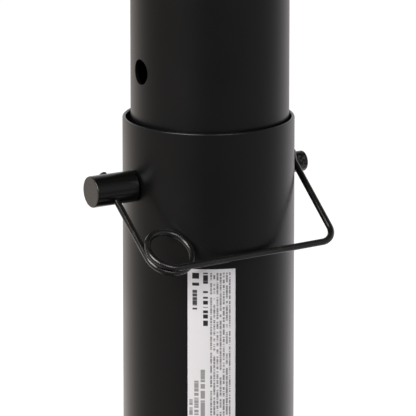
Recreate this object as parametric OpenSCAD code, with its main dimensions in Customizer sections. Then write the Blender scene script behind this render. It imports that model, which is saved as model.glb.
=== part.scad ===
// Telescopic steel post on a round base, locked by a cross pin with a spring wire bail.
// Frame: +Z up the post, origin under the post's axis on the floor, pin along X with its head at -X.

/* [Column] */
// Outside diameter of the lower tube
tube_od = 76; // [65:1:92]
// Wall of both tubes
tube_wall = 1.5; // [1.2:0.1:2.5]
// Radial gap between the two tubes
slide_gap = 1.5; // [1.3:0.1:2]
// How far the upper tube stands towards +X in that gap
upper_shift = 0.7; // [0:0.1:0.8]
// Length of the lower tube
lower_len = 325; // [260:5:400]
// Length of the upper tube
upper_len = 360; // [300:5:440]
// Length of the upper tube that stands above the pin
upper_above_pin = 170; // [140:5:210]
// Distance from the lower tube's mouth down to the pin
mouth_to_pin = 27; // [22:1:36]

/* [Height holes] */
// Spacing of the height holes in the upper tube
hole_pitch = 50; // [40:1:60]
// Free height holes above the pin
holes_above = 2; // [1:1:2]
// Free height holes below the pin
holes_below = 3; // [1:1:3]
// Radial play of the pin in the tubes' holes
pin_play = 1; // [0.5:0.1:1.4]

/* [Lock pin] */
// Diameter of the pin's shank
pin_d = 9.2; // [8:0.1:11.1]
// Diameter of the pin's head
head_d = 14; // [13:0.5:18]
// Length of the pin's head
head_len = 21; // [18:0.5:26]
// How far the pin's tip stands out of the lower tube
tip_out = 10.8; // [9:0.2:16]
// Rounding of the pin's tip
tip_round = 0.9; // [0.5:0.1:3]
// Distance from the head's outer face to the bail's hole
wire_hole_inset = 9.9; // [8:0.1:12]

/* [Bail] */
// Diameter of the spring wire
wire_d = 3; // [2:0.1:3.6]
// Length of the leg in the head, from the pin's axis to the bottom wire
bail_drop = 50; // [46:1:62]
// Lean of the legs towards the tip
bail_lean = 1.4; // [0:0.1:3]
// Mean radius of the coil at the corner
coil_r = 10.5; // [8:0.5:12.6]
// Mean radius of the plain corner
corner_r = 7; // [4:0.5:8]
// How far the plain corner stands out past the leg's end
corner_out = 1; // [0:0.1:2]

/* [Base] */
// Diameter of the base plate
base_d = 300; // [240:5:380]
// Thickness of the base plate
base_t = 8; // [6:1:12]
// Height of the rubber feet
foot_h = 8; // [7:0.5:12]
// Diameter of a rubber foot at the floor
foot_d = 30; // [26:1:36]
// Distance from the plate's edge in to the rubber feet
feet_inset = 22; // [18:1:34]
// Distance from the plate's edge in to the ground anchor holes
anchor_inset = 25; // [15:1:34]
// Diameter of the ground anchor holes
anchor_d = 11; // [9:0.5:14]
// Diameter of the tube's foot flange
flange_d = 150; // [140:1:190]
// Thickness of the tube's foot flange
flange_t = 6; // [5:1:10]
// Hole circle of the flange screws
flange_pcd = 118; // [112:1:136]
// Height of the gussets
gusset_h = 42; // [30:1:60]
// Thickness of the gussets
gusset_t = 5; // [4:0.5:8]

/* [Top plate] */
// Side of the square top plate
top_w = 120; // [100:1:160]
// Thickness of the top plate
top_t = 5; // [4:0.5:10]
// Corner radius of the top plate
top_corner = 12; // [6:1:20]
// Spacing of the top plate's holes, both ways
top_spacing = 92; // [84:1:92]
// Diameter of the top plate's holes
top_hole_d = 9; // [7:0.5:11]

/* [Label] */
// Width of the label round the tube
label_w = 21.1; // [15:0.5:30]
// Length of the label
label_len = 100; // [60:5:140]
// Distance from the pin down to the label's top edge
label_below_pin = 33.6; // [30:0.2:60]
// Direction that the label faces, in degrees from +X
label_turn = -117.7; // [-180:0.1:180]

/* [Hidden] */
$fn = 96;

// Clearances
fit = 0.05;         // running fit of round pieces
seat = 0.15;        // bail's far leg to the pin
droop_rest = 0.35;  // play that is left where the drooping pin rests
head_gap = 0.4;     // pin's shoulder to the lower tube
leg_gap = 1.6;      // lower tube to the centre of the bail's far leg
rest_gap = 0.95;    // resting bottom wire to the lower tube
glide_gap = 0.3;    // glide plug to the lower tube
turn_gap = 0.1;     // neighbouring turns of the coil

// Tubes
tube_r = tube_od / 2;
tube_bore_r = tube_r - tube_wall;
upper_r = tube_bore_r - slide_gap;
upper_bore_r = upper_r - tube_wall;
plate_z = foot_h + base_t;
feet_pcd = base_d - 2 * feet_inset;
anchor_pcd = base_d - 2 * anchor_inset;
column_z = plate_z + flange_t;
mouth_z = column_z + lower_len;
pin_z = mouth_z - mouth_to_pin;
top_z = pin_z + upper_above_pin;
upper_z = top_z - upper_len;
hole_d = pin_d + 2 * pin_play;
weld_leg = 4.5;
gusset_reach = flange_d / 2 - 5;
gusset_clip = weld_leg + 1.5;

// Pin: its head hangs down as far as the play in the lower tube's holes lets it
pin_droop = atan((pin_play - droop_rest) / tube_r);
shoulder_x = -tube_r - head_gap;
face_x = shoulder_x - head_len;
tip_x = tube_r + tip_out;
wire_hole_x = face_x + wire_hole_inset;
head_chamfer = 0.6;

// Bail, in its own frame: leg along Z, bottom wire along X, front towards -Y
wire_r = wire_d / 2;
coil_turn = 450;
coil_front = (wire_d + turn_gap) / smooth(1 - 90 / coil_turn);
leg_span = tube_r + leg_gap - wire_hole_x;
leg_x = leg_span * cos(bail_lean);
leg_z = -leg_span * sin(bail_lean);
leg_front = pin_d / 2 + wire_r + seat;
corner_x = leg_x + corner_out;
flare_below = 4;
flare_above = 1.5;
flare_out = 2;
peen_r = wire_r + 0.45;
peen_t = 0.8;
peen_z = head_d / 2 + 0.8;

// The bail hangs from the pin until its bottom wire lies against the lower tube
wire_drop = bail_drop * cos(bail_lean) + wire_hole_x * sin(bail_lean);
wire_reach = norm([wire_drop, coil_front]);
rest_tilt = asin(min(1, (tube_r + wire_r + rest_gap) / wire_reach)) - atan(coil_front / wire_drop);

// Fasteners: M8 in the flange, M5 in the feet
m8_r = 4;
m8_hole_r = 4.5;
m8_head_r = 8;
m8_head_h = 4.5;
m8_washer_r = 8;
m8_washer_t = 1.6;
m8_nut_af = 13;
m8_nut_h = 6.5;
m8_dome_r = 6;
m8_end = 5;
m5_r = 2.5;
m5_head_r = 4.5;
m5_head_h = 2.4;
m5_washer_r = 6.2;
m5_washer_t = 1;
m5_depth = 6;
recess_r = 7;
recess_h = foot_h * 0.55;

function smooth(t) = t * t * (3 - 2 * t);
function unit(v) = v / norm(v);

// Arc of radius r that rounds the corner at b on the way from a to c
function bend(a, b, c, r, steps) =
    let (u = unit(a - b), w = unit(c - b), half = acos(u * w) / 2,
         reach = r / tan(half), mid = b + unit(u + w) * r / sin(half),
         p = (b + u * reach - mid) / r, q = (b + w * reach - mid) / r, turn = acos(p * q))
    [for (k = [0:steps]) mid + r * (sin(turn * (1 - k / steps)) * p + sin(turn * k / steps) * q) / sin(turn)];

// Directions along a path, and one side direction that is carried along it without twist
function directions(path) =
    let (last = len(path) - 1)
    [for (i = [0:last]) unit(path[min(i + 1, last)] - path[max(i - 1, 0)])];
function square_to(v, t) = unit(v - (v * t) * t);
function sides(t, i, v) = i == len(t) ? [] : concat([square_to(v, t[i])], sides(t, i + 1, square_to(v, t[i])));

// Round bar of radius r along a path
module sweep(path, r, ring = 12) {
    t = directions(path);
    n = sides(t, 0, [0, -1, 0]);
    last = len(path) - 1;
    points = [for (i = [0:last], k = [0:ring - 1])
        path[i] + r * (cos(360 * k / ring) * n[i] + sin(360 * k / ring) * cross(t[i], n[i]))];
    walls = [for (i = [0:last - 1], k = [0:ring - 1], half = [0, 1])
        let (a = i * ring + k, b = i * ring + (k + 1) % ring)
        half == 0 ? [a, a + ring, b] : [b, a + ring, b + ring]];
    start = [[for (k = [0:ring - 1]) k]];
    end = [[for (k = [ring - 1:-1:0]) last * ring + k]];
    polyhedron(points = points, faces = concat(walls, start, end), convexity = 8);
}

module ring_of(pcd, turn) {
    for (k = [0:3])
        rotate([0, 0, turn + 90 * k])
            translate([pcd / 2, 0, 0])
                children();
}

module tube(r, wall, length) {
    difference() {
        cylinder(r = r, h = length);
        translate([0, 0, -1])
            cylinder(r = r - wall, h = length + 2);
    }
}

module cross_hole(z) {
    translate([0, 0, z])
        rotate([0, 90, 0])
            cylinder(d = hole_d, h = 2 * tube_od, center = true, $fn = 48);
}

// Frame of the drooping pin: its axis is X and the origin is on the post's axis
module on_pin() {
    translate([0, 0, pin_z])
        rotate([0, -pin_droop, 0])
            children();
}

// Frame of the bail at rest: Z runs up the leg that turns in the pin's head
module on_bail() {
    on_pin()
        translate([wire_hole_x, 0, 0])
            rotate([-rest_tilt, 0, 0])
                rotate([0, -bail_lean, 0])
                    children();
}

// Round plate that stands on four rubber feet
module base_plate() {
    color([0.09, 0.09, 0.095])
        difference() {
            translate([0, 0, foot_h])
                cylinder(d = base_d, h = base_t, $fn = 180);
            ring_of(anchor_pcd, 45)
                cylinder(d = anchor_d, h = plate_z + 1);
            ring_of(flange_pcd, 0)
                cylinder(r = m8_hole_r, h = plate_z + 1);
            ring_of(flange_pcd, 0)
                translate([0, 0, foot_h - 0.01])
                    cylinder(r1 = m8_head_r + 0.3, r2 = m8_hole_r, h = m8_head_h);
            ring_of(feet_pcd, 0)
                cylinder(r = m5_r + fit, h = foot_h + m5_depth + 0.5);
        }
}

module rubber_feet() {
    color([0.05, 0.05, 0.05])
        ring_of(feet_pcd, 0)
            difference() {
                rotate_extrude()
                    polygon([[0, 0], [foot_d / 2 - 0.8, 0], [foot_d / 2, 0.8],
                             [foot_d / 2 - 2, foot_h], [0, foot_h]]);
                translate([0, 0, -1])
                    cylinder(r = m5_r + 0.25, h = foot_h + 2);
                translate([0, 0, -1])
                    cylinder(r = recess_r, h = recess_h + 1);
            }
}

module feet_washers() {
    color([0.7, 0.7, 0.72])
        ring_of(feet_pcd, 0)
            translate([0, 0, recess_h - m5_washer_t])
                difference() {
                    cylinder(r = m5_washer_r, h = m5_washer_t);
                    translate([0, 0, -1])
                        cylinder(r = m5_r + 0.25, h = m5_washer_t + 2);
                }
}

module feet_screws() {
    head_z = recess_h - m5_washer_t - m5_head_h;
    color([0.7, 0.7, 0.72])
        ring_of(feet_pcd, 0)
            translate([0, 0, head_z])
                difference() {
                    union() {
                        cylinder(r = m5_head_r, h = m5_head_h);
                        cylinder(r = m5_r, h = foot_h + m5_depth - head_z);
                    }
                    for (turn = [0, 90])
                        rotate([0, 0, turn])
                            translate([0, 0, 0.3])
                                cube([5, 0.9, 2], center = true);
                }
}

// Flange that the lower tube is welded to
module foot_flange() {
    color([0.09, 0.09, 0.095])
        difference() {
            translate([0, 0, plate_z])
                cylinder(d = flange_d, h = flange_t);
            ring_of(flange_pcd, 0)
                cylinder(r = m8_hole_r, h = column_z + 1);
        }
}

module flange_screws() {
    color([0.7, 0.7, 0.72])
        ring_of(flange_pcd, 0)
            translate([0, 0, foot_h + 0.3])
                difference() {
                    union() {
                        cylinder(r1 = m8_head_r, r2 = m8_r, h = m8_head_h - 0.4);
                        cylinder(r = m8_r, h = base_t + flange_t + m8_washer_t + m8_end - 0.3);
                    }
                    translate([0, 0, -1])
                        cylinder(r = 2.9, h = 3.4, $fn = 6);
                }
}

module flange_washers() {
    color([0.7, 0.7, 0.72])
        ring_of(flange_pcd, 0)
            translate([0, 0, column_z])
                difference() {
                    cylinder(r = m8_washer_r, h = m8_washer_t);
                    translate([0, 0, -1])
                        cylinder(r = m8_r + 0.2, h = m8_washer_t + 2);
                }
}

// Dome nuts
module flange_nuts() {
    color([0.7, 0.7, 0.72])
        ring_of(flange_pcd, 0)
            translate([0, 0, column_z + m8_washer_t])
                difference() {
                    union() {
                        rotate([0, 0, 30])
                            cylinder(d = m8_nut_af / cos(30), h = m8_nut_h, $fn = 6);
                        translate([0, 0, m8_nut_h])
                            intersection() {
                                sphere(r = m8_dome_r);
                                translate([0, 0, -1])
                                    cylinder(r = m8_dome_r + 1, h = m8_dome_r + 2);
                            }
                    }
                    translate([0, 0, -1])
                        cylinder(r = m8_r + fit, h = m8_nut_h + 2);
                }
}

// Four triangular ribs between the flange and the lower tube
module foot_gussets() {
    color([0.09, 0.09, 0.095])
        difference() {
            for (k = [0:3])
                rotate([0, 0, 45 + 90 * k])
                    translate([0, gusset_t / 2, column_z])
                        rotate([90, 0, 0])
                            linear_extrude(gusset_t)
                                polygon([[tube_r + gusset_clip, 0], [gusset_reach, 0], [gusset_reach, 6],
                                         [tube_r + 6, gusset_h], [tube_r - 2, gusset_h],
                                         [tube_r - 2, gusset_clip]]);
            cylinder(r = tube_r, h = mouth_z);
        }
}

// Fillet beads on both sides of each gusset, along the flange and up the tube
module gusset_welds() {
    bead = 3;
    color([0.08, 0.08, 0.085])
        difference() {
            for (k = [0:3], side = [0, 1])
                rotate([0, 0, 45 + 90 * k])
                    mirror([0, side, 0])
                        translate([tube_r, gusset_t / 2, column_z]) {
                            translate([gusset_clip, 0, 0])
                                rotate([90, 0, 90])
                                    linear_extrude(gusset_reach - tube_r - gusset_clip)
                                        polygon([[0, 0], [bead, 0], [0, bead]]);
                            translate([0, 0, gusset_clip])
                                linear_extrude(gusset_h - gusset_clip - 1)
                                    polygon([[-2, 0], [bead, 0], [-2, bead + 2]]);
                        }
            cylinder(r = tube_r, h = mouth_z);
        }
}

module foot_weld() {
    color([0.08, 0.08, 0.085])
        translate([0, 0, column_z])
            rotate_extrude()
                polygon([[tube_r, 0], [tube_r + weld_leg, 0], [tube_r, weld_leg]]);
}

// Lower tube with a rounded mouth and one pair of pin holes
module lower_tube() {
    color([0.1, 0.1, 0.105])
        translate([0, 0, column_z])
            difference() {
                union() {
                    tube(tube_r, tube_wall, lower_len - tube_wall / 2);
                    translate([0, 0, lower_len - tube_wall / 2])
                        rotate_extrude()
                            translate([tube_r - tube_wall / 2, 0])
                                circle(d = tube_wall, $fn = 32);
                }
                cross_hole(lower_len - mouth_to_pin);
            }
}

module rating_label() {
    label_t = 0.2;
    span = label_w / tube_r * 180 / PI;
    color([0.88, 0.88, 0.87])
        translate([0, 0, pin_z - label_below_pin - label_len])
            rotate([0, 0, label_turn - span / 2])
                rotate_extrude(angle = span)
                    translate([tube_r, 0])
                        square([label_t, label_len]);
}

// Upper tube with a row of height holes
module upper_tube() {
    color([0.1, 0.1, 0.105])
        translate([upper_shift, 0, 0])
            difference() {
                translate([0, 0, upper_z])
                    tube(upper_r, tube_wall, upper_len);
                for (k = [-holes_below:holes_above])
                    cross_hole(pin_z + k * hole_pitch);
            }
}

// Plastic plug that closes the upper tube's lower end and guides it in the lower tube
module glide_plug() {
    rim_r = tube_bore_r - upper_shift - glide_gap;
    rim_h = 6;
    spigot_h = 18;
    spigot_wall = 3;
    color([0.12, 0.12, 0.12])
        translate([upper_shift, 0, upper_z - rim_h])
            difference() {
                union() {
                    cylinder(r = rim_r, h = rim_h);
                    cylinder(r = upper_bore_r - fit, h = rim_h + spigot_h);
                }
                translate([0, 0, 3])
                    cylinder(r = upper_bore_r - spigot_wall, h = rim_h + spigot_h);
            }
}

module top_plate() {
    inset = top_w / 2 - top_corner;
    color([0.09, 0.09, 0.095])
        translate([upper_shift, 0, top_z])
            difference() {
                linear_extrude(top_t)
                    union() {
                        square([top_w, 2 * inset], center = true);
                        square([2 * inset, top_w], center = true);
                        for (x = [-inset, inset], y = [-inset, inset])
                            translate([x, y])
                                circle(r = top_corner);
                    }
                for (x = [-0.5, 0.5], y = [-0.5, 0.5])
                    translate([x * top_spacing, y * top_spacing, -1])
                        cylinder(d = top_hole_d, h = top_t + 2);
            }
}

module top_weld() {
    color([0.08, 0.08, 0.085])
        translate([upper_shift, 0, top_z])
            rotate_extrude()
                polygon([[upper_r, 0], [upper_r, -weld_leg], [upper_r + weld_leg, 0]]);
}

// Turned pin: thick head, thin shank and a rounded tip
module lock_pin() {
    shank_r = pin_d / 2;
    head_r = head_d / 2;
    color([0.06, 0.06, 0.06])
        difference() {
            on_pin()
                rotate([0, 90, 0])
                    rotate_extrude()
                        union() {
                            polygon([[0, face_x], [head_r - head_chamfer, face_x],
                                     [head_r, face_x + head_chamfer], [head_r, shoulder_x - head_chamfer],
                                     [head_r - head_chamfer, shoulder_x], [0, shoulder_x]]);
                            translate([0, shoulder_x - 1])
                                square([shank_r, tip_x - tip_round - shoulder_x + 1]);
                            translate([0, tip_x - tip_round - 1])
                                square([shank_r - tip_round, tip_round + 1]);
                            intersection() {
                                translate([shank_r - tip_round, tip_x - tip_round])
                                    circle(r = tip_round, $fn = 48);
                                square([shank_r, tip_x]);
                            }
                        }
            on_bail()
                cylinder(r = wire_r + fit, h = 2 * head_d, center = true, $fn = 48);
        }
}

// One length of spring wire: leg in the head, coil, bottom wire, far leg with a flared end.
// The swept bar starts inside the round leg and is a hair thinner, so that the two join cleanly.
module bail_wire() {
    coil_steps = 40;
    lead = 2;
    overlap = 1;
    skin = 0.01;
    coil_z = coil_r - bail_drop;
    coil = [for (k = [0:coil_steps])
        let (turn = 180 + coil_turn * k / coil_steps)
        [coil_r + coil_r * cos(turn), -coil_front * smooth(k / coil_steps), coil_z + coil_r * sin(turn)]];
    bottom = [coil_r, -coil_front, -bail_drop];
    corner = [corner_x, -coil_front, -bail_drop];
    crossing = [leg_x, -leg_front, leg_z - flare_below];
    tip = [leg_x + flare_out, -leg_front, leg_z + flare_above];
    path = concat([[0, 0, coil_z + lead + overlap]], coil,
                  bend(bottom, corner, crossing, corner_r, 8),
                  bend(corner, crossing, tip, corner_r, 4), [tip]);
    color([0.05, 0.05, 0.05])
        on_bail() {
            translate([0, 0, coil_z + lead])
                cylinder(r = wire_r, h = peen_z + peen_t - coil_z - lead, $fn = 48);
            translate([0, 0, peen_z])
                cylinder(r = peen_r, h = peen_t, $fn = 48);
            sweep(path, wire_r - skin);
        }
}

base_plate();
rubber_feet();
feet_washers();
feet_screws();
foot_flange();
flange_screws();
flange_washers();
flange_nuts();
foot_gussets();
gusset_welds();
foot_weld();
lower_tube();
rating_label();
upper_tube();
glide_plug();
top_plate();
top_weld();
lock_pin();
bail_wire();
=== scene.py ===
"""Looks of a telescopic heater post: tubes, cross pin, wire bail, label, foot and top plate."""

import logging
import math
from dataclasses import dataclass
from enum import Enum
from typing import Callable, Iterable

import bmesh
import bpy
from mathutils import Matrix, Vector


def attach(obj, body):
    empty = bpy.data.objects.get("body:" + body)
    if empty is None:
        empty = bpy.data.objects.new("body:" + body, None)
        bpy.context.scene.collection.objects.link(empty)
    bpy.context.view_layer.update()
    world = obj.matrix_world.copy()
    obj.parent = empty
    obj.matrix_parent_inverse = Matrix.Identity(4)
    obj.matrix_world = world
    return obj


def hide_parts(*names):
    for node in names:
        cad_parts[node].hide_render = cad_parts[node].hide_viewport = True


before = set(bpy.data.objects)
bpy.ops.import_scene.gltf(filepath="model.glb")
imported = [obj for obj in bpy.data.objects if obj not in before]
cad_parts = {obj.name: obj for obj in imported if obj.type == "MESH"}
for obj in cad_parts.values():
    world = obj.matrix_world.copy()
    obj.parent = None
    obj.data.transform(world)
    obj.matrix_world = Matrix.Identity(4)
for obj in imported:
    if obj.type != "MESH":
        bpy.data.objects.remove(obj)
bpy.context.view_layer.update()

LOG = logging.getLogger("heater_post")
# Lengths are in millimetres, unless a comment says otherwise, and MM turns them into metres
MM = 0.001
TUBE_RADIUS = 38.0
PIN_LEVEL = 320.0
PIN_PLAY = 0.65
MERGE = 0.002
NEAR = 0.01
FLAT_ANGLE = 0.5
SMOOTH_ANGLE = 40.0
ACROSS = (0.0, math.pi / 2, 0.0)
WHITE = "#ffffff"
Piece = bpy.types.Object
Tree = bpy.types.NodeTree
Socket = bpy.types.NodeSocket
Point = tuple[float, float, float]
Test = Callable[[Vector, Vector], bool]


class Body(Enum):
    """Moving bodies of the post."""

    STAND = "stand"
    PIN = "pin"
    BAIL = "bail"


class Element(Enum):
    """Kinds of mesh element that a selection can hold."""

    EDGE = "EDGE"
    FACE = "FACE"


def linear(hex_code: str) -> tuple[float, float, float, float]:
    """Turn an sRGB hex colour into linear RGBA.

    Args:
        hex_code: Six hex digits, with or without a leading #.

    Returns:
        The linear red, green, blue and an alpha of 1.
    """
    digits = hex_code.lstrip("#")
    parts = [int(digits[i : i + 2], 16) / 255 for i in (0, 2, 4)]
    red, green, blue = [p / 12.92 if p <= 0.04045 else ((p + 0.055) / 1.055) ** 2.4 for p in parts]
    return red, green, blue, 1.0


def per_size(size_mm: float) -> float:
    """Return the texture scale whose features are about size_mm across."""
    return 1.0 / (size_mm * MM)


def add_node(
    tree: Tree, kind: str, links: dict | None = None, **settings: object
) -> bpy.types.Node:
    """Add a node, set it up and link its inputs.

    Args:
        tree: Node tree that the node goes in.
        kind: Name of the node's type, without ShaderNode in front.
        links: Input name or number to a socket, a node's first output or a plain value.
        settings: Attributes of the node.

    Returns:
        The new node.
    """
    node = tree.nodes.new(f"ShaderNode{kind}")
    for name, value in settings.items():
        setattr(node, name, value)
    for name, value in (links or {}).items():
        if isinstance(value, bpy.types.Node):
            value = value.outputs[0]
        if isinstance(value, Socket):
            tree.links.new(value, node.inputs[name])
        else:
            node.inputs[name].default_value = value
    return node


class Bench:
    """Modelling steps shared by all pieces. Sizes come in millimetres."""

    @staticmethod
    def clear() -> None:
        """Leave edit mode and deselect everything."""
        if bpy.context.object and bpy.context.object.mode != "OBJECT":
            bpy.ops.object.mode_set(mode="OBJECT")
        bpy.ops.object.select_all(action="DESELECT")

    @staticmethod
    def take(*pieces: Piece) -> None:
        """Select only these pieces and make the first one active."""
        Bench.clear()
        for piece in pieces:
            piece.select_set(True)
        bpy.context.view_layer.objects.active = pieces[0]

    @staticmethod
    def settle(piece: Piece) -> None:
        """Put a piece's place into its mesh, so its object sits at the origin."""
        Bench.take(piece)
        bpy.ops.object.transform_apply(location=True, rotation=True, scale=True)

    @staticmethod
    def place(piece: Piece, matrix: Matrix) -> None:
        """Move a settled piece by a matrix and settle it again."""
        piece.matrix_world = matrix
        Bench.settle(piece)

    @staticmethod
    def round_bar(
        name: str,
        radius: float,
        length: float,
        centre: Point,
        turn: Point = (0.0, 0.0, 0.0),
        sides: int = 96,
        capped: bool = True,
    ) -> Piece:
        """Start a round piece.

        Args:
            name: Name of the piece.
            radius: Radius of the bar.
            length: Length of the bar.
            centre: Middle of the bar.
            turn: Turn from upright, in radians.
            sides: Number of sides.
            capped: Whether the ends are closed.

        Returns:
            The bar, settled at the origin.
        """
        Bench.clear()
        bpy.ops.mesh.primitive_cylinder_add(
            vertices=sides,
            radius=radius * MM,
            depth=length * MM,
            end_fill_type="NGON" if capped else "NOTHING",
            location=[c * MM for c in centre],
            rotation=turn,
        )
        piece = bpy.context.object
        piece.name = name
        Bench.settle(piece)
        return piece

    @staticmethod
    def pick(piece: Piece, element: Element, test: Test) -> None:
        """Enter edit mode and select the edges or faces that pass a test.

        Args:
            piece: Piece to work on.
            element: Whether edges or faces are picked.
            test: Gets an edge's two ends, or a face's centre and normal, in millimetres.
        """
        Bench.take(piece)
        bpy.ops.object.mode_set(mode="EDIT")
        bpy.ops.mesh.select_mode(type=element.value)
        bpy.ops.mesh.select_all(action="DESELECT")
        mesh = bmesh.from_edit_mesh(piece.data)
        if element is Element.FACE:
            for face in mesh.faces:
                face.select = test(face.calc_center_median() / MM, face.normal)
        else:
            for edge in mesh.edges:
                edge.select = test(edge.verts[0].co / MM, edge.verts[1].co / MM)
        mesh.select_flush_mode()
        bmesh.update_edit_mesh(piece.data)

    @staticmethod
    def split_level(piece: Piece, level: float) -> None:
        """Cut a new edge loop through a piece at a height."""
        Bench.take(piece)
        bpy.ops.object.mode_set(mode="EDIT")
        bpy.ops.mesh.select_all(action="SELECT")
        bpy.ops.mesh.bisect(plane_co=(0.0, 0.0, level * MM), plane_no=(0.0, 0.0, 1.0))
        bpy.ops.object.mode_set(mode="OBJECT")

    @staticmethod
    def modify(piece: Piece, kind: str, **settings: object) -> None:
        """Add a modifier to a piece and apply it."""
        Bench.take(piece)
        modifier = piece.modifiers.new(kind.title(), kind)
        for name, value in settings.items():
            setattr(modifier, name, value)
        bpy.ops.object.modifier_apply(modifier=modifier.name)

    @staticmethod
    def drill(piece: Piece, drill: Piece) -> None:
        """Cut a drill's shape out of a piece and throw the drill away."""
        Bench.modify(piece, "BOOLEAN", operation="DIFFERENCE", solver="EXACT", object=drill)
        bpy.data.objects.remove(drill, do_unlink=True)

    @staticmethod
    def soften(piece: Piece, width: float, steps: int = 2, angle: float = 35.0) -> None:
        """Round every edge sharper than an angle, then smooth the faces between.

        Args:
            piece: Piece to finish.
            width: Width of the rounding.
            steps: Number of faces across the rounding.
            angle: Sharpest angle that is left alone, in degrees.
        """
        Bench.modify(
            piece,
            "BEVEL",
            width=width * MM,
            segments=steps,
            limit_method="ANGLE",
            angle_limit=math.radians(angle),
            use_clamp_overlap=True,
        )
        Bench.smooth(piece)

    @staticmethod
    def smooth(piece: Piece) -> None:
        """Smooth a piece's shading and let its large faces keep their direction."""
        Bench.take(piece)
        bpy.ops.object.shade_smooth_by_angle(angle=math.radians(SMOOTH_ANGLE))
        Bench.modify(piece, "WEIGHTED_NORMAL", keep_sharp=True, weight=80)

    @staticmethod
    def join(first: Piece, *others: Piece) -> Piece:
        """Make one piece of several and return it."""
        Bench.take(first, *others)
        bpy.ops.object.join()
        return first

    @staticmethod
    def dressed_copy(node: str, width: float) -> Piece:
        """Copy a CAD node's mesh as a new piece and round its sharp edges.

        Args:
            node: Name of the CAD node.
            width: Width of the rounding.

        Returns:
            The new piece, which stands for the node.
        """
        Bench.clear()
        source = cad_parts[node]
        piece = bpy.data.objects.new(f"{node}_finished", source.data.copy())
        bpy.context.scene.collection.objects.link(piece)
        piece.data.materials.clear()
        Bench.take(piece)
        bpy.ops.object.mode_set(mode="EDIT")
        bpy.ops.mesh.select_all(action="SELECT")
        bpy.ops.mesh.customdata_custom_splitnormals_clear()
        bpy.ops.mesh.remove_doubles(threshold=MERGE * MM)
        bpy.ops.mesh.dissolve_limited(angle_limit=math.radians(FLAT_ANGLE))
        bpy.ops.object.mode_set(mode="OBJECT")
        Bench.soften(piece, width)
        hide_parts(node)
        return piece


class Finish:
    """A surface finish. Its material is made once and shared by the pieces that wear it."""

    name: str = "finish"

    def material(self) -> bpy.types.Material:
        """Return the finish's material, made on first use."""
        made = bpy.data.materials.get(self.name)
        if made is None:
            made = bpy.data.materials.new(self.name)
            made.use_nodes = True
            made.node_tree.nodes.clear()
            place = add_node(made.node_tree, "TexCoord").outputs["Object"]
            surface = self.surface(made.node_tree, place)
            add_node(made.node_tree, "OutputMaterial", {"Surface": surface})
        return made

    def surface(self, tree: Tree, place: Socket) -> Socket:
        """Build the finish's nodes from a place on the object and return the surface socket."""
        raise NotImplementedError

    def dress(self, piece: Piece) -> None:
        """Give a piece this finish and nothing else."""
        piece.data.materials.clear()
        piece.data.materials.append(self.material())

    def dress_node(self, node: str) -> None:
        """Give a CAD node that stays in view this finish."""
        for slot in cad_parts[node].material_slots:
            slot.material = self.material()


@dataclass(frozen=True)
class PowderCoat(Finish):
    """Polyester powder coat baked on steel: even satin black with a faint orange peel."""

    name: str = "powder_coated_steel_satin_black"
    colour: str = "#0c0c0d"
    dust: str = "#1f1e1d"
    roughness: float = 0.3
    peel_mm: float = 1.1
    peel_depth_mm: float = 0.004

    def surface(self, tree: Tree, place: Socket) -> Socket:
        """Build the coat: peel in the bump, cloudy gloss, and specks of dust baked in."""
        # The peel is what breaks up the long reflections on the tubes
        peel = add_node(
            tree, "TexNoise", {"Vector": place, "Scale": per_size(self.peel_mm), "Detail": 3.0}
        )
        cloud = add_node(
            tree, "TexNoise", {"Vector": place, "Scale": per_size(38.0), "Detail": 2.0}
        )
        gloss = add_node(
            tree,
            "MapRange",
            {0: cloud, 1: 0.3, 2: 0.7, 3: self.roughness - 0.02, 4: self.roughness + 0.03},
        )
        speck = add_node(tree, "TexNoise", {"Vector": place, "Scale": per_size(0.7), "Detail": 1.0})
        dust = add_node(tree, "MapRange", {0: speck, 1: 0.74, 2: 0.8, 3: 0.0, 4: 0.6})
        colour = add_node(
            tree, "Mix", {0: dust, 6: linear(self.colour), 7: linear(self.dust)}, data_type="RGBA"
        ).outputs[2]
        bump = add_node(
            tree, "Bump", {"Height": peel, "Strength": 0.35, "Distance": self.peel_depth_mm * MM}
        )
        return add_node(
            tree,
            "BsdfPrincipled",
            {"Base Color": colour, "Roughness": gloss, "Normal": bump, "IOR": 1.5},
        ).outputs[0]


class BeadRun(Enum):
    """Direction in which a weld bead's ripples follow each other."""

    ROUND_THE_TUBE = "round"
    STRAIGHT = "straight"


@dataclass(frozen=True)
class WeldCoat(Finish):
    """MIG weld bead under powder coat: glossy black ripples, one for each pulse of the wire."""

    name: str = "powder_coated_mig_weld"
    colour: str = "#131314"
    run: BeadRun = BeadRun.ROUND_THE_TUBE
    ripple_mm: float = 2.2
    radius_mm: float = 40.0

    def surface(self, tree: Tree, place: Socket) -> Socket:
        """Build the bead: ripples along its run, made uneven by a little noise."""
        wobble = add_node(
            tree, "TexNoise", {"Vector": place, "Scale": per_size(3.0), "Detail": 2.0}
        )
        axes = add_node(tree, "SeparateXYZ", {0: place})
        if self.run is BeadRun.ROUND_THE_TUBE:
            angle = add_node(tree, "Math", {0: axes.outputs[1], 1: axes}, operation="ARCTAN2")
            along = add_node(
                tree,
                "Math",
                {0: angle, 1: 2 * math.pi * self.radius_mm / self.ripple_mm},
                operation="MULTIPLY",
            )
        else:
            reach = add_node(tree, "VectorMath", {0: place}, operation="LENGTH")
            along = add_node(
                tree,
                "Math",
                {0: reach.outputs[1], 1: 2 * math.pi / (self.ripple_mm * MM)},
                operation="MULTIPLY",
            )
        shifted = add_node(tree, "Math", {0: wobble, 1: 5.0, 2: along}, operation="MULTIPLY_ADD")
        ripple = add_node(tree, "Math", {0: shifted}, operation="SINE")
        bump = add_node(tree, "Bump", {"Height": ripple, "Strength": 0.9, "Distance": 0.25 * MM})
        return add_node(
            tree,
            "BsdfPrincipled",
            {"Base Color": linear(self.colour), "Roughness": 0.3, "Normal": bump, "IOR": 1.5},
        ).outputs[0]


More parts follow.
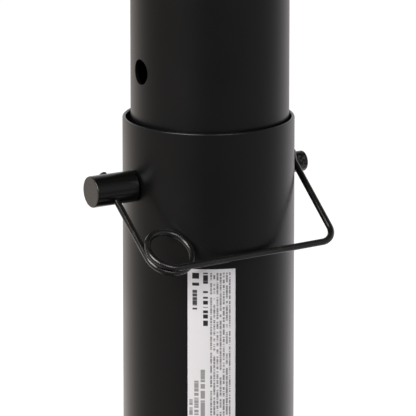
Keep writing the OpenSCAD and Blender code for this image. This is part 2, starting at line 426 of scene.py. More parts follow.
@dataclass(frozen=True)
class PinLacquer(Finish):
    """Black lacquer on drawn steel: glossy with draw lines, rubbed to dull metal at the tip."""

    name: str = "lacquered_drawn_steel_worn_tip"
    colour: str = "#0d0d0c"
    bare: str = "#68645e"
    rust: str = "#4a3424"
    # Grey put on the head's flat face as a painted highlight
    face_highlight_grey: str = "#3d3a36"
    wear_from_mm: float = 40.5
    face_mm: float = -59.1

    def surface(self, tree: Tree, place: Socket) -> Socket:
        """Build the lacquer: draw lines along the pin and wear where it rubs through the holes."""
        # Draw lines run along the pin, so the noise is stretched along X
        stretched = add_node(tree, "Mapping", {"Vector": place, "Scale": (0.03, 1.0, 1.0)})
        lines = add_node(
            tree, "TexNoise", {"Vector": stretched, "Scale": per_size(1.3), "Detail": 2.0}
        )
        axes = add_node(tree, "SeparateXYZ", {0: place})
        near_tip = add_node(
            tree,
            "MapRange",
            {
                0: axes,
                1: (self.wear_from_mm - 1.5) * MM,
                2: (self.wear_from_mm + 2.5) * MM,
                3: 0.0,
                4: 1.0,
            },
        )
        patch = add_node(tree, "TexNoise", {"Vector": place, "Scale": per_size(1.6), "Detail": 5.0})
        rubbed = add_node(tree, "MapRange", {0: patch, 1: 0.46, 2: 0.6, 3: 0.0, 4: 1.0})
        worn = add_node(tree, "Math", {0: near_tip, 1: rubbed}, operation="MULTIPLY")
        tinge = add_node(tree, "TexNoise", {"Vector": place, "Scale": per_size(2.6), "Detail": 3.0})
        brown = add_node(tree, "MapRange", {0: tinge, 1: 0.55, 2: 0.75, 3: 0.0, 4: 0.8})
        metal = add_node(
            tree, "Mix", {0: brown, 6: linear(self.bare), 7: linear(self.rust)}, data_type="RGBA"
        )
        # The head's flat face is coloured greyer: a painted highlight for the light that falls on
        # that face
        face = add_node(tree, "Math", {0: axes, 1: self.face_mm * MM}, operation="LESS_THAN")
        lacquer_and_face_highlight = add_node(
            tree,
            "Mix",
            {0: face, 6: linear(self.colour), 7: linear(self.face_highlight_grey)},
            data_type="RGBA",
        )
        colour = add_node(
            tree, "Mix", {0: worn, 6: lacquer_and_face_highlight.outputs[2], 7: metal.outputs[2]}, data_type="RGBA"
        )
        gloss = add_node(tree, "MapRange", {0: worn, 1: 0.0, 2: 1.0, 3: 0.2, 4: 0.45})
        shine = add_node(tree, "MapRange", {0: worn, 1: 0.0, 2: 1.0, 3: 0.0, 4: 0.7})
        bump = add_node(tree, "Bump", {"Height": lines, "Strength": 0.8, "Distance": 0.05 * MM})
        return add_node(
            tree,
            "BsdfPrincipled",
            {
                "Base Color": colour.outputs[2],
                "Roughness": gloss,
                "Metallic": shine,
                "Normal": bump,
                "IOR": 1.5,
            },
        ).outputs[0]


@dataclass(frozen=True)
class WireCoat(Finish):
    """Black oxide and oil on spring steel wire: near black, glossy, with faint die lines."""

    name: str = "oil_blackened_spring_steel"
    colour: str = "#12110f"
    worn: str = "#2e2a24"

    def surface(self, tree: Tree, place: Socket) -> Socket:
        """Build the wire: gloss that varies slightly and rubbed brownish spots."""
        patch = add_node(tree, "TexNoise", {"Vector": place, "Scale": per_size(5.0), "Detail": 4.0})
        rubbed = add_node(tree, "MapRange", {0: patch, 1: 0.58, 2: 0.8, 3: 0.0, 4: 1.0})
        colour = add_node(
            tree, "Mix", {0: rubbed, 6: linear(self.colour), 7: linear(self.worn)}, data_type="RGBA"
        ).outputs[2]
        gloss = add_node(tree, "MapRange", {0: patch, 1: 0.3, 2: 0.7, 3: 0.2, 4: 0.3})
        grain = add_node(tree, "TexNoise", {"Vector": place, "Scale": per_size(0.4), "Detail": 2.0})
        bump = add_node(tree, "Bump", {"Height": grain, "Strength": 0.08, "Distance": 0.01 * MM})
        return add_node(
            tree,
            "BsdfPrincipled",
            {"Base Color": colour, "Roughness": gloss, "Normal": bump, "IOR": 1.7},
        ).outputs[0]


@dataclass(frozen=True)
class ZincPlate(Finish):
    """Electroplated zinc on turned steel: cool silver with a fine cloudy grain."""

    name: str = "zinc_plated_steel"
    colour: str = "#c9ccd0"

    def surface(self, tree: Tree, place: Socket) -> Socket:
        """Build the plating: metal with cloudy roughness."""
        cloud = add_node(tree, "TexNoise", {"Vector": place, "Scale": per_size(2.0), "Detail": 4.0})
        gloss = add_node(tree, "MapRange", {0: cloud, 1: 0.3, 2: 0.7, 3: 0.28, 4: 0.44})
        return add_node(
            tree,
            "BsdfPrincipled",
            {"Base Color": linear(self.colour), "Metallic": 1.0, "Roughness": gloss},
        ).outputs[0]


@dataclass(frozen=True)
class Moulded(Finish):
    """Moulded black rubber or plastic: matte, with the fine spark-eroded grain of its mould."""

    name: str = "moulded_black_rubber"
    colour: str = "#1b1b1b"
    roughness: float = 0.7
    grain_mm: float = 0.6
    grain_depth_mm: float = 0.03

    def surface(self, tree: Tree, place: Socket) -> Socket:
        """Build the moulding: grain in the bump and slightly uneven gloss."""
        grain = add_node(
            tree, "TexNoise", {"Vector": place, "Scale": per_size(self.grain_mm), "Detail": 3.0}
        )
        gloss = add_node(
            tree,
            "MapRange",
            {0: grain, 1: 0.3, 2: 0.7, 3: self.roughness - 0.06, 4: self.roughness + 0.06},
        )
        bump = add_node(
            tree, "Bump", {"Height": grain, "Strength": 0.6, "Distance": self.grain_depth_mm * MM}
        )
        return add_node(
            tree,
            "BsdfPrincipled",
            {"Base Color": linear(self.colour), "Roughness": gloss, "Normal": bump},
        ).outputs[0]


@dataclass(frozen=True)
class TypeLine:
    """One run of generic marks on the label, in millimetres from its top left corner."""

    across: float
    height: float
    start: float
    end: float
    letter: float
    ink: float


@dataclass(frozen=True)
class PrintedPaper(Finish):
    """Coated white label stock, laser printed: cool white with rows of dark marks."""

    name: str = "printed_white_label_stock"
    paper: str = "#f1f0f2"
    ink: str = "#232224"
    radius_mm: float = TUBE_RADIUS
    left_rad: float = 0.0
    top_mm: float = 0.0
    width_mm: float = 21.1
    lines: tuple[TypeLine, ...] = ()
    fine_from_mm: float = 9.6
    margin_mm: float = 2.2
    fine_pitch_mm: float = 1.38
    fine_start_mm: float = 1.6
    fine_end_mm: float = 94.0
    fine_ink: float = 0.72
    blur: float = 0.04

    def marks(
        self, tree: Tree, down: Socket, row: Socket | float, letter: float, limit: float, ink: float
    ) -> Socket:
        """Build the broken strokes of a row of marks.

        Args:
            tree: Node tree that the marks go in.
            down: Distance down the label in millimetres.
            row: Number that sets this row's own pattern.
            letter: Width of a mark in millimetres.
            limit: Noise level above which there is ink.
            ink: Strength of the ink.

        Returns:
            A socket from 0 on bare paper to the strength on a mark.
        """
        point = add_node(tree, "CombineXYZ", {0: down, 1: row})
        noise = add_node(tree, "TexNoise", {"Vector": point, "Scale": 0.5 / letter, "Detail": 0.0})
        edge = {0: noise, 1: limit - self.blur, 2: limit + self.blur, 3: 0.0, 4: ink}
        return add_node(tree, "MapRange", edge).outputs[0]

    def keep(self, tree: Tree, ink: Socket, bands: Iterable[tuple[Socket, float, float]]) -> Socket:
        """Return the ink where every band's socket lies between the band's two levels."""
        for value, low, high in bands:
            band = {0: value, 1: (low + high) / 2, 2: (high - low) / 2}
            inside = add_node(tree, "Math", band, operation="COMPARE").outputs[0]
            ink = add_node(tree, "Math", {0: ink, 1: inside}, operation="MULTIPLY").outputs[0]
        return ink

    def surface(self, tree: Tree, place: Socket) -> Socket:
        """Build the label: distances round and down the tube place every row of marks."""
        axes = add_node(tree, "SeparateXYZ", {0: place})
        angle = add_node(tree, "Math", {0: axes.outputs[1], 1: axes}, operation="ARCTAN2")
        across = add_node(
            tree,
            "Math",
            {0: angle, 1: self.radius_mm, 2: -self.left_rad * self.radius_mm},
            operation="MULTIPLY_ADD",
        ).outputs[0]
        down = add_node(
            tree, "Math", {0: axes.outputs[2], 1: -1 / MM, 2: self.top_mm}, operation="MULTIPLY_ADD"
        ).outputs[0]
        # Fine print: one row of words every pitch, with its own pattern in each row
        rows = add_node(
            tree, "Math", {0: across, 1: 1 / self.fine_pitch_mm}, operation="MULTIPLY"
        ).outputs[0]
        row = add_node(tree, "Math", {0: rows}, operation="FLOOR").outputs[0]
        within = add_node(tree, "Math", {0: rows}, operation="FRACT").outputs[0]
        seeds = add_node(tree, "Math", {0: row, 1: 7.3}, operation="MULTIPLY").outputs[0]
        letters = self.marks(tree, down, seeds, 0.22, 0.42, self.fine_ink)
        words = self.marks(tree, down, row, 1.1, 0.36, 1.0)
        fine = add_node(tree, "Math", {0: letters, 1: words}, operation="MULTIPLY")
        ink = self.keep(
            tree,
            fine.outputs[0],
            (
                (within, 0.2, 0.8),
                (across, self.fine_from_mm, self.width_mm - self.margin_mm),
                (down, self.fine_start_mm, self.fine_end_mm),
            ),
        )
        for number, line in enumerate(self.lines):
            strokes = self.marks(tree, down, 31.0 + 5.7 * number, line.letter, 0.44, line.ink)
            low, high = line.across - line.height / 2, line.across + line.height / 2
            mask = self.keep(tree, strokes, ((across, low, high), (down, line.start, line.end)))
            ink = add_node(tree, "Math", {0: ink, 1: mask}, operation="MAXIMUM").outputs[0]
        colour = add_node(
            tree, "Mix", {0: ink, 6: linear(self.paper), 7: linear(self.ink)}, data_type="RGBA"
        ).outputs[2]
        fibre = add_node(tree, "TexNoise", {"Vector": place, "Scale": per_size(0.5), "Detail": 2.0})
        bump = add_node(tree, "Bump", {"Height": fibre, "Strength": 0.15, "Distance": 0.01 * MM})
        return add_node(
            tree,
            "BsdfPrincipled",
            {"Base Color": colour, "Roughness": 0.5, "Normal": bump, "IOR": 1.5},
        ).outputs[0]


@dataclass
class Column:
    """The two tubes that slide in each other and the plug at the upper tube's foot."""

    lower_radius: float = TUBE_RADIUS
    lower_span: tuple[float, float] = (22.0, 347.0)
    upper_radius: float = 35.0
    upper_span: tuple[float, float] = (130.0, 490.0)
    upper_shift: float = 0.7
    wall: float = 1.5
    hole_radius: float = 5.6
    hole_pitch: float = 50.0
    hole_margin: float = 9.0
    drill_length: float = 120.0
    mouth_round: float = 0.7
    edge_round: float = 0.22
    coat: Finish = PowderCoat()
    plug: Finish = Moulded(
        name="moulded_black_nylon", colour="#181818", roughness=0.5, grain_mm=0.8
    )

    def tube(
        self, name: str, radius: float, span: tuple[float, float], levels: Iterable[float]
    ) -> Piece:
        """Build a tube whose faces are split above and below its cross holes.

        Args:
            name: Name of the piece.
            radius: Outside radius.
            span: Lowest and highest point.
            levels: Heights of the hole pairs.

        Returns:
            The tube on the Z axis, not yet drilled.
        """
        low, high = span
        centre = (0.0, 0.0, (low + high) / 2)
        piece = Bench.round_bar(name, radius, high - low, centre, sides=160, capped=False)
        for level in levels:
            for edge in (-self.hole_margin, self.hole_margin):
                Bench.split_level(piece, level + edge)
        Bench.modify(piece, "SOLIDIFY", thickness=self.wall * MM, offset=-1.0, use_even_offset=True)
        return piece

    def pierce(self, piece: Piece, levels: Iterable[float]) -> None:
        """Drill the pairs of cross holes along X through a tube."""
        for level in levels:
            centre = (0.0, 0.0, level)
            drill = Bench.round_bar(
                "drill", self.hole_radius, self.drill_length, centre, ACROSS, sides=64
            )
            Bench.drill(piece, drill)

    def lower_tube(self) -> Piece:
        """Build the lower tube, with its mouth rolled to a full round."""
        levels = [PIN_LEVEL]
        piece = self.tube("lower_tube_finished", self.lower_radius, self.lower_span, levels)
        mouth = self.lower_span[1] - NEAR
        Bench.pick(
            piece,
            Element.EDGE,
            lambda a, b: min(a.z, b.z) > mouth and abs(a.xy.length - b.xy.length) < self.wall / 2,
        )
        bpy.ops.mesh.bevel(offset=self.mouth_round * MM, segments=5, affect="EDGES", profile=0.5)
        Bench.clear()
        self.pierce(piece, levels)
        Bench.soften(piece, self.edge_round)
        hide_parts("lower_tube")
        return piece

    def upper_tube(self) -> Piece:
        """Build the upper tube with its ladder of height holes."""
        levels = [PIN_LEVEL + step * self.hole_pitch for step in range(-3, 3)]
        piece = self.tube("upper_tube_finished", self.upper_radius, self.upper_span, levels)
        self.pierce(piece, levels)
        Bench.soften(piece, self.edge_round)
        Bench.place(piece, Matrix.Translation((self.upper_shift * MM, 0.0, 0.0)))
        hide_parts("upper_tube")
        return piece

    def build(self) -> list[Piece]:
        """Build and dress the tubes, and dress the plug that stays as it is.

        Returns:
            The new pieces.
        """
        pieces = [self.lower_tube(), self.upper_tube()]
        for piece in pieces:
            self.coat.dress(piece)
        self.plug.dress_node("glide_plug")
        return pieces


@dataclass
class LockPin:
    """The turned cross pin: head, shank, rounded tip and the bore for the bail."""

    droop: float = math.atan(PIN_PLAY / TUBE_RADIUS)
    face_x: float = -59.4
    shoulder_x: float = -38.4
    tip_x: float = 48.8
    head_radius: float = 7.0
    shank_radius: float = 4.6
    chamfer: float = 0.6
    tip_round: float = 0.9
    bore_radius: float = 1.55
    bore_length: float = 40.0
    edge_round: float = 0.15
    lacquer: Finish = PinLacquer()

    def frame(self) -> Matrix:
        """Return the drooping pin's own frame, with its axis along X."""
        level = Matrix.Translation((0.0, 0.0, PIN_LEVEL * MM))
        return level @ Matrix.Rotation(-self.droop, 4, "Y")

    def build(self, bail: "Bail") -> Piece:
        """Build and dress the pin.

        Args:
            bail: The bail whose leg turns in the pin's bore.

        Returns:
            The pin.
        """
        head_length = self.shoulder_x - self.face_x
        centre = ((self.shoulder_x + self.face_x) / 2, 0.0, 0.0)
        piece = Bench.round_bar(
            "lock_pin_finished", self.head_radius, head_length, centre, ACROSS, sides=128
        )
        Bench.pick(piece, Element.FACE, lambda centre, normal: normal.x > 0.9)
        bpy.ops.mesh.inset(thickness=(self.head_radius - self.shank_radius) * MM, depth=0.0)
        length = (self.tip_x - self.shoulder_x) * MM
        bpy.ops.mesh.extrude_region_move(TRANSFORM_OT_translate={"value": (length, 0.0, 0.0)})
        ring = self.tip_x - NEAR
        Bench.pick(piece, Element.EDGE, lambda a, b: min(a.x, b.x) > ring)
        bpy.ops.mesh.bevel(offset=self.tip_round * MM, segments=8, affect="EDGES", profile=0.5)
        rim = self.head_radius - NEAR
        Bench.pick(
            piece,
            Element.EDGE,
            lambda a, b: abs(a.x - b.x) < NEAR and min(a.yz.length, b.yz.length) > rim,
        )
        bpy.ops.mesh.bevel(offset=self.chamfer * MM, segments=3, affect="EDGES", profile=0.5)
        Bench.clear()
        Bench.place(piece, self.frame())
        origin = (0.0, 0.0, 0.0)
        drill = Bench.round_bar("drill", self.bore_radius, self.bore_length, origin, sides=48)
        Bench.place(drill, bail.frame(self))
        Bench.drill(piece, drill)
        Bench.soften(piece, self.edge_round, angle=50.0)
        self.lacquer.dress(piece)
        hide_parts("lock_pin")
        return piece


@dataclass
class Bail:
    """The spring wire bail: leg in the head, coil, bottom wire and far leg."""

    wire_radius: float = 1.5
    drop: float = 50.0
    lean: float = math.radians(1.4)
    rest_gap: float = 0.95
    leg_gap: float = 1.6
    turn_gap: float = 0.1
    hinge_x: float = -49.5
    coil_radius: float = 10.5
    coil_turn: float = math.radians(450.0)
    coil_steps: int = 110
    lead: float = 2.0
    leg_front: float = 6.25
    corner_out: float = 1.0
    corner_radius: float = 7.0
    corner_steps: int = 20
    flare_below: float = 4.0
    flare_above: float = 1.5
    flare_out: float = 2.0
    flare_steps: int = 8
    peen_radius: float = 1.95
    peen_span: tuple[float, float] = (7.8, 8.6)
    peen_round: float = 0.35
    end_round: float = 0.2
    coat: Finish = WireCoat()

    @staticmethod
    def ease(share: float) -> float:
        """Return the eased share of a way, flat at both ends."""
        return share * share * (3 - 2 * share)

    @property
    def coil_front(self) -> float:
        """How far the coil brings the wire to the front, so that its turns pass each other."""
        last_top = 1 - math.pi / 2 / self.coil_turn
        return (2 * self.wire_radius + self.turn_gap) / self.ease(last_top)

    @property
    def far_leg(self) -> Vector:
        """Where the far leg crosses the pin, in the bail's own frame."""
        span = TUBE_RADIUS + self.leg_gap - self.hinge_x
        return Vector((span * math.cos(self.lean), -self.leg_front, -span * math.sin(self.lean)))

    @property
    def tilt(self) -> float:
        """Tilt at which the bottom wire comes to rest in front of the lower tube."""
        drop = self.drop * math.cos(self.lean) + self.hinge_x * math.sin(self.lean)
        out = TUBE_RADIUS + self.wire_radius + self.rest_gap
        reach = math.hypot(drop, self.coil_front)
        return math.asin(out / reach) - math.atan(self.coil_front / drop)

    def frame(self, pin: LockPin) -> Matrix:
        """Return the bail's own frame at rest: Z runs up the leg in the pin's head."""
        hinge = Matrix.Translation((self.hinge_x * MM, 0.0, 0.0))
        turned = Matrix.Rotation(-self.tilt, 4, "X") @ Matrix.Rotation(-self.lean, 4, "Y")
        return pin.frame() @ hinge @ turned

    @staticmethod
    def bend(
        before: Vector, corner: Vector, after: Vector, radius: float, steps: int
    ) -> list[Vector]:
        """Return the arc that rounds a corner of the wire.

        Args:
            before: A point on the way in.
            corner: The sharp corner.
            after: A point on the way out.
            radius: Radius of the arc.
            steps: Number of steps along it.

        Returns:
            Points from the start to the end of the arc.
        """
        back, on = (before - corner).normalized(), (after - corner).normalized()
        half = back.angle(on) / 2
        reach = radius / math.tan(half)
        middle = corner + (back + on).normalized() * radius / math.sin(half)
        first = (corner + back * reach - middle) / radius
        last = (corner + on * reach - middle) / radius
        turn = first.angle(last)
        scale = radius / math.sin(turn)
        arc = []
        for k in range(steps + 1):
            share = k / steps
            mixed = math.sin(turn * (1 - share)) * first + math.sin(turn * share) * last
            arc.append(middle + scale * mixed)
        return arc

    def path(self) -> list[Vector]:
        """Return the wire's centreline from the peened end to the flared end, in its own frame."""
        level = self.coil_radius - self.drop
        points = [Vector((0.0, 0.0, self.peen_span[1])), Vector((0.0, 0.0, level + self.lead))]
        for k in range(self.coil_steps + 1):
            share = k / self.coil_steps
            angle = math.pi + self.coil_turn * share
            x = self.coil_radius * (1 + math.cos(angle))
            y = -self.coil_front * self.ease(share)
            points.append(Vector((x, y, level + self.coil_radius * math.sin(angle))))
        bottom = Vector((self.coil_radius, -self.coil_front, -self.drop))
        leg = self.far_leg
        corner = Vector((leg.x + self.corner_out, -self.coil_front, -self.drop))
        crossing = leg - Vector((0.0, 0.0, self.flare_below))
        tip = leg + Vector((self.flare_out, 0.0, self.flare_above))
        points += self.bend(bottom, corner, crossing, self.corner_radius, self.corner_steps)
        points += self.bend(corner, crossing, tip, self.corner_radius, self.flare_steps)
        return points + [tip]

    def build(self, pin: LockPin) -> Piece:
        """Bend, peen and dress the wire.

        Args:
            pin: The pin whose head holds the wire.

        Returns:
            The bail.
        """
        Bench.clear()
        bpy.ops.curve.primitive_nurbs_path_add()
        wire = bpy.context.object
        wire.name = "bail_wire_finished"
        curve = wire.data
        curve.splines.clear()
        points = self.path()
        spline = curve.splines.new("POLY")
        spline.points.add(len(points) - 1)
        for spot, point in zip(spline.points, points):
            spot.co = (*(point * MM), 1.0)
        curve.bevel_depth = self.wire_radius * MM
        curve.bevel_resolution = 6
        curve.use_fill_caps = True
        curve.twist_mode = "MINIMUM"
        bpy.ops.object.convert(target="MESH")
        wire = bpy.context.object
        Bench.settle(wire)
        low, high = self.peen_span
        centre = (0.0, 0.0, (low + high) / 2)
        peen = Bench.round_bar("peen", self.peen_radius, high - low, centre, sides=32)
        Bench.soften(peen, self.peen_round, steps=3)
        Bench.soften(wire, self.end_round, angle=60.0)
        wire = Bench.join(wire, peen)
        Bench.place(wire, self.frame(pin))
        self.coat.dress(wire)
        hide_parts("bail_wire")
        return wire


@dataclass
class Label:
    """The paper label on the lower tube, printed with plain marks."""

    radius: float = TUBE_RADIUS
    thickness: float = 0.2
    width: float = 21.1
    length: float = 100.0
    top: float = 286.4
    facing: float = math.radians(-117.7)
    lines: tuple[TypeLine, ...] = (
        TypeLine(3.6, 3.0, 1.6, 7.4, 1.5, 1.0),
        TypeLine(3.2, 2.0, 8.2, 18.2, 0.8, 0.95),
        TypeLine(7.9, 2.1, 1.5, 25.9, 0.7, 1.0),
        TypeLine(6.7, 1.9, 45.4, 84.0, 0.55, 0.62),
        TypeLine(3.9, 1.9, 50.2, 84.0, 0.55, 0.62),
        TypeLine(1.5, 1.5, 59.0, 84.0, 0.55, 0.62),
    )

    def build(self) -> Piece:
        """Wrap the label round the tube and dress it."""
        span = self.width / self.radius
        start = self.facing - span / 2
        middle = self.radius + self.thickness / 2
        Bench.clear()
        bpy.ops.mesh.primitive_plane_add(
            size=1.0,
            location=(
                middle * math.cos(start) * MM,
                middle * math.sin(start) * MM,
                (self.top - self.length / 2) * MM,
            ),
            rotation=(math.pi / 2, 0.0, start),
        )
        piece = bpy.context.object
        piece.name = "rating_label_finished"
        piece.scale = (self.thickness * MM, self.length * MM, 1.0)
        Bench.settle(piece)
        bpy.ops.object.mode_set(mode="EDIT")
        bpy.ops.mesh.select_all(action="SELECT")
        bpy.ops.mesh.spin(steps=40, angle=-span, center=(0.0, 0.0, 0.0), axis=(0.0, 0.0, 1.0))
        bpy.ops.mesh.select_all(action="SELECT")
        bpy.ops.mesh.remove_doubles(threshold=MERGE * MM)
        bpy.ops.mesh.normals_make_consistent(inside=False)
        Bench.clear()
        Bench.smooth(piece)
        PrintedPaper(
            radius_mm=self.radius,
            left_rad=start,
            top_mm=self.top,
            width_mm=self.width,
            lines=self.lines,
        ).dress(piece)
        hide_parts("rating_label")
        return piece


@dataclass
class Dressing:
    """A CAD node that is copied and given rounded edges and a finish."""

    node: str
    width: float
    finish: Finish
    slot: str

    def build(self) -> Piece:
        """Build the finished copy of the node."""
        piece = Bench.dressed_copy(self.node, self.width)
        self.finish.dress(piece)
        return piece


@dataclass
class FootAndTop:
    """The welded foot, its fasteners and rubber feet, and the top plate."""

    plate: Finish = PowderCoat(
        name="powder_coated_plate_satin_black", roughness=0.36, peel_mm=1.6
    )
    bead: Finish = WeldCoat()
    short_bead: Finish = WeldCoat(name="powder_coated_mig_weld_short", run=BeadRun.STRAIGHT)
    zinc: Finish = ZincPlate()
    rubber: Finish = Moulded()

    def build(self) -> list[Piece]:
        """Build the finished copies and dress the small fasteners that stay as they are.

        Returns:
            The new pieces.
        """
        work = [
            Dressing("base_plate", 0.8, self.plate, "plate_coat"),
            Dressing("foot_flange", 0.7, self.plate, "plate_coat"),
            Dressing("foot_gussets", 0.5, self.plate, "plate_coat"),
            Dressing("top_plate", 0.6, self.plate, "plate_coat"),
            Dressing("foot_weld", 0.9, self.bead, "weld_coat"),
            Dressing("top_weld", 0.9, self.bead, "weld_coat"),
            Dressing("gusset_welds", 0.5, self.short_bead, "weld_coat"),
            Dressing("flange_nuts", 0.3, self.zinc, "zinc_steel"),
            Dressing("rubber_feet", 0.5, self.rubber, "foot_rubber"),
        ]
        for node in ("feet_washers", "feet_screws", "flange_screws", "flange_washers"):
            self.zinc.dress_node(node)
        return [item.build() for item in work]


@dataclass(frozen=True)
class StudioFloor(Finish):
    """Plain pale floor: white with contact shadows, dim in reflections in front of the post."""

    name: str = "studio_floor_white"
    lift: float = 0.74
    fade_m: tuple[float, float] = (0.9, 1.7)
    near_level: float = 1.25
    far_level: float = 0.72
    matt: str = "#efefef"
    warm: str = "#fff6ee"
    cool: str = "#fffbff"
    towards_viewer: tuple[float, float] = (-0.49, -0.872)
    stops: tuple[tuple[float, float], ...] = ()

    def surface(self, tree: Tree, place: Socket) -> Socket:
        """Build the floor: open from below, so the underside can be looked at."""
        reach = add_node(tree, "VectorMath", {0: place}, operation="NORMALIZE")
        glow = floor_brightness(tree, reach.outputs[0], self.towards_viewer, self.stops)
        # Further out the floor gets less of the light, which darkens the tubes' reflections upwards
        far = add_node(tree, "VectorMath", {0: place}, operation="LENGTH")
        near_m, far_m = self.fade_m
        fade = add_node(
            tree,
            "MapRange",
            {0: far.outputs["Value"], 1: near_m, 2: far_m, 3: self.near_level, 4: self.far_level},
        )
        glow = add_node(tree, "Math", {0: glow, 1: fade}, operation="MULTIPLY").outputs[0]
        aside = (-self.towards_viewer[1], self.towards_viewer[0], 0.0)
        side = add_node(tree, "VectorMath", {0: reach, 1: aside}, operation="DOT_PRODUCT")
        share = add_node(
            tree, "MapRange", {0: side.outputs["Value"], 1: -0.9, 2: 0.9, 3: 0.0, 4: 1.0}
        )
        tint = add_node(
            tree, "Mix", {0: share, 6: linear(self.warm), 7: linear(self.cool)}, data_type="RGBA"
        ).outputs[2]
        dim = add_node(tree, "Emission", {"Color": tint, "Strength": glow})
        white = add_node(tree, "Emission", {"Color": linear(WHITE), "Strength": self.lift})
        matt = add_node(tree, "BsdfDiffuse", {"Color": linear(self.matt)})
        seen = add_node(tree, "AddShader", {0: white, 1: matt})
        ray = add_node(tree, "LightPath").outputs["Is Camera Ray"]
        floor = add_node(tree, "MixShader", {0: ray, 1: dim, 2: seen})
        under = add_node(tree, "NewGeometry").outputs["Backfacing"]
        clear = add_node(tree, "BsdfTransparent")
        sides = {0: under, 1: floor, 2: clear}
        return add_node(tree, "MixShader", sides).outputs[0]


def floor_brightness(
    tree: Tree,
    direction: Socket,
    towards_viewer: tuple[float, float],
    stops: tuple[tuple[float, float], ...],
) -> Socket:
    """Build the floor's brightness for a direction: bright behind the post, dim in front of it.

    Args:
        tree: Node tree of the floor.
        direction: Unit direction from the post.
        towards_viewer: Horizontal direction of the dim side.
        stops: Pairs of place and brightness, from 0 behind the post to 1 in front.

    Returns:
        The brightness.
    """
    ahead = add_node(
        tree, "VectorMath", {0: direction, 1: (*towards_viewer, 0.0)}, operation="DOT_PRODUCT"
    )
    share = add_node(tree, "MapRange", {0: ahead.outputs["Value"], 1: -1.0, 2: 1.0, 3: 0.0, 4: 1.0})
    ramp = add_node(tree, "ValToRGB", {0: share})
    elements = ramp.color_ramp.elements
    while len(elements) < len(stops):
        elements.new(0.5)
    for element, (spot, level) in zip(elements, stops):
        element.position = spot
        element.color = (level, level, level, 1.0)
    return add_node(tree, "RGBToBW", {0: ramp}).outputs[0]


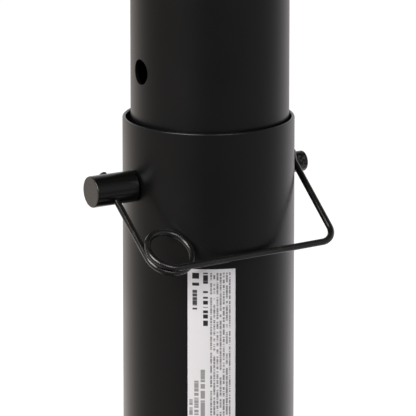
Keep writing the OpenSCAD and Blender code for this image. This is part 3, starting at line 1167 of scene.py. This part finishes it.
@dataclass
class Studio:
    """Floor, soft lights, room and camera."""

    room_glow: float = 0.06
    floor_radius: float = 14.0
    azimuth: float = math.radians(-29.727)
    elevation: float = math.radians(13.553)
    distance: float = 2.5
    lens: float = 489.4
    aim_right: float = -0.223
    aim_up: float = -14.769
    stops: tuple[tuple[float, float], ...] = (
        (0.0, 0.92),
        (0.12, 1.0),
        (0.19, 0.82),
        (0.27, 0.62),
        (0.33, 0.51),
        (0.42, 0.4),
        (0.5, 0.34),
        (0.6, 0.29),
        (0.75, 0.25),
        (0.88, 0.18),
        (0.96, 0.13),
        (1.0, 0.1),
    )

    @staticmethod
    def away(side: float, rise: float) -> Vector:
        """Return the unit direction at an azimuth and an elevation, from the front to the right."""
        level = math.cos(rise)
        return Vector((math.sin(side) * level, -math.cos(side) * level, math.sin(rise)))

    def axes(self) -> tuple[Vector, Vector, Vector]:
        """Return the camera's right, up and backward directions."""
        back = self.away(self.azimuth, self.elevation)
        right = Vector((math.cos(self.azimuth), math.sin(self.azimuth), 0.0))
        return right, back.cross(right), back

    def camera(self) -> None:
        """Set up the long lens that looks at the pin."""
        right, up, back = self.axes()
        aim = Vector((0.0, 0.0, PIN_LEVEL * MM)) + (right * self.aim_right + up * self.aim_up) * MM
        data = bpy.data.cameras.new("camera")
        data.lens = self.lens
        data.sensor_width = 36.0
        data.clip_start, data.clip_end = 0.1, 100.0
        camera = bpy.data.objects.new("camera", data)
        bpy.context.scene.collection.objects.link(camera)
        turned = Matrix((right, up, back)).transposed().to_4x4()
        camera.matrix_world = Matrix.Translation(aim + back * self.distance) @ turned
        bpy.context.scene.camera = camera

    def floor(self) -> None:
        """Lay the floor under the post."""
        Bench.clear()
        bpy.ops.mesh.primitive_circle_add(vertices=96, radius=self.floor_radius, fill_type="NGON")
        floor = bpy.context.object
        floor.name = "studio_floor"
        StudioFloor(towards_viewer=self.towards_viewer(), stops=self.stops).dress(floor)

    def towards_viewer(self) -> tuple[float, float]:
        """Return the horizontal direction from the post to the front of the studio."""
        return math.sin(self.azimuth), -math.cos(self.azimuth)

    def room(self) -> None:
        """Make the room: white to the eye, and dark above the horizon in reflections."""
        world = bpy.data.worlds.new("room")
        bpy.context.scene.world = world
        world.use_nodes = True
        tree = world.node_tree
        tree.nodes.clear()
        direction = add_node(tree, "TexCoord").outputs["Generated"]
        level = floor_brightness(tree, direction, self.towards_viewer(), self.stops)
        axes = add_node(tree, "SeparateXYZ", {0: direction})
        low = add_node(tree, "MapRange", {0: axes.outputs[2], 1: 0.3, 2: 0.86, 3: 1.0, 4: 0.0})
        glow = add_node(
            tree, "Math", {0: level, 1: low, 2: self.room_glow}, operation="MULTIPLY_ADD"
        )
        dim, white = (
            add_node(tree, "Background", {"Color": linear(WHITE), "Strength": strength})
            for strength in (glow.outputs[0], 1.0)
        )
        ray = add_node(tree, "LightPath").outputs["Is Camera Ray"]
        mix = add_node(tree, "MixShader", {0: ray, 1: dim, 2: white})
        add_node(tree, "OutputWorld", {"Surface": mix})

    def softbox(
        self,
        name: str,
        turn: float,
        rise: float,
        reach: float,
        size: float,
        watts: float,
        tint: str,
    ) -> None:
        """Hang a square soft light that points at the pin.

        Args:
            name: Name of the light.
            turn: Turn from the camera, to the right, in degrees.
            rise: Height above the horizon in degrees.
            reach: Distance from the pin in metres.
            size: Side of the light in metres.
            watts: Power.
            tint: Colour of the light.
        """
        away = self.away(self.azimuth + math.radians(turn), math.radians(rise))
        data = bpy.data.lights.new(name, "AREA")
        data.shape = "SQUARE"
        data.size = size
        data.energy = watts
        data.color = linear(tint)[:3]
        light = bpy.data.objects.new(name, data)
        light.location = away * reach + Vector((0.0, 0.0, PIN_LEVEL * MM))
        light.rotation_euler = away.to_track_quat("Z", "Y").to_euler()
        bpy.context.scene.collection.objects.link(light)

    def build(self) -> None:
        """Set up the whole studio."""
        self.camera()
        self.floor()
        self.room()
        self.softbox("key_softbox", -36.0, 30.0, 2.4, 1.5, 48.0, "#fffaf5")
        self.softbox("fill_softbox", 24.0, 28.0, 2.6, 1.2, 16.0, "#f4f4ff")
        bpy.context.scene.view_settings.view_transform = "Standard"


def main() -> None:
    """Build the post, its finishes and the studio, and report each piece."""
    logging.basicConfig(level=logging.INFO, format="%(name)s: %(message)s")
    Studio().build()
    pin, bail = LockPin(), Bail()
    riders = {
        Body.STAND: [*Column().build(), Label().build(), *FootAndTop().build()],
        Body.PIN: [pin.build(bail)],
        Body.BAIL: [bail.build(pin)],
    }
    for body, pieces in riders.items():
        for piece in pieces:
            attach(piece, body.value)
            LOG.info("%s: %d faces, on %s", piece.name, len(piece.data.polygons), body.value)


if __name__ == "__main__":
    main()
